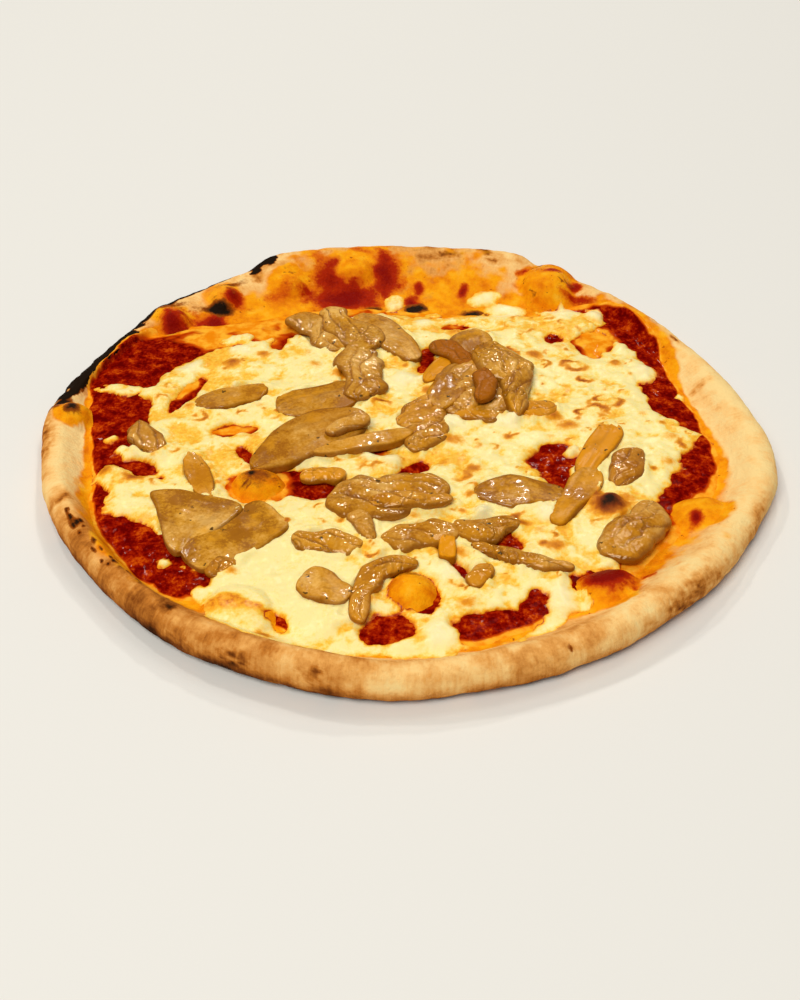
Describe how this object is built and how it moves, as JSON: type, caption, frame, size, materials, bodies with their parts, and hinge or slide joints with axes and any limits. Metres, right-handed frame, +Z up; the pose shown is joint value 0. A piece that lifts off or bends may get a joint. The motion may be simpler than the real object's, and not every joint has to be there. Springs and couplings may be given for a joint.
{
  "type": "porcini mushroom pizza",
  "caption": "Round baked pizza with a raised blistered rim, tomato sauce, a melted sheet of mozzarella and torn and sliced porcini mushrooms on top.",
  "frame": {"origin": "on the flat underside of the dough, below its middle", "axes": "+X to the right of the front, +Y to the back, +Z up"},
  "size_m": [0.3147, 0.3065, 0.018],
  "materials": {
    "baked_dough": "dry baked dough, pale gold with brown and black scorched places",
    "tomato_sauce": "wet cooked tomato",
    "melted_cheese": "melted mozzarella with an oily sheen and brown blisters",
    "porcini": "oily cooked mushroom flesh"
  },
  "bodies": {
    "root": {"crust": "baked_dough", "mozzarella": "melted_cheese", "porcini_broad_slab": "porcini", "porcini_brown_flap": "porcini", "porcini_centre_bit": "porcini", "porcini_chunk": "porcini", "porcini_clump_body": "porcini", "porcini_clump_foot": "porcini", "porcini_curl": "porcini", "porcini_disc": "porcini", "porcini_fan_left": "porcini", "porcini_fan_middle": "porcini", "porcini_fan_right": "porcini", "porcini_fold": "porcini", "porcini_fold_leg": "porcini", "porcini_front_chunk": "porcini", "porcini_front_hook": "porcini", "porcini_front_lump": "porcini", "porcini_front_lump_right": "porcini", "porcini_front_shard": "porcini", "porcini_front_stem": "porcini", "porcini_hump": "porcini", "porcini_leaf": "porcini", "porcini_left_lobe": "porcini", "porcini_left_oval": "porcini", "porcini_left_sliver": "porcini", "porcini_long_stem": "porcini", "porcini_low_bit": "porcini", "porcini_nub": "porcini", "porcini_orange_cube": "porcini", "porcini_petal": "porcini", "porcini_right_lens": "porcini", "porcini_right_lobe": "porcini", "porcini_right_roll": "porcini", "porcini_right_shred": "porcini", "porcini_right_stem": "porcini", "porcini_round_cap": "porcini", "porcini_sauce_bit": "porcini", "porcini_side_flap": "porcini", "porcini_slab_lower": "porcini", "porcini_slab_tail": "porcini", "porcini_slab_upper": "porcini", "porcini_wide_fold": "porcini", "porcini_wide_roll": "porcini", "porcini_yellow_stem": "porcini", "tomato_sauce": "tomato_sauce"}
  },
  "joints": []
}
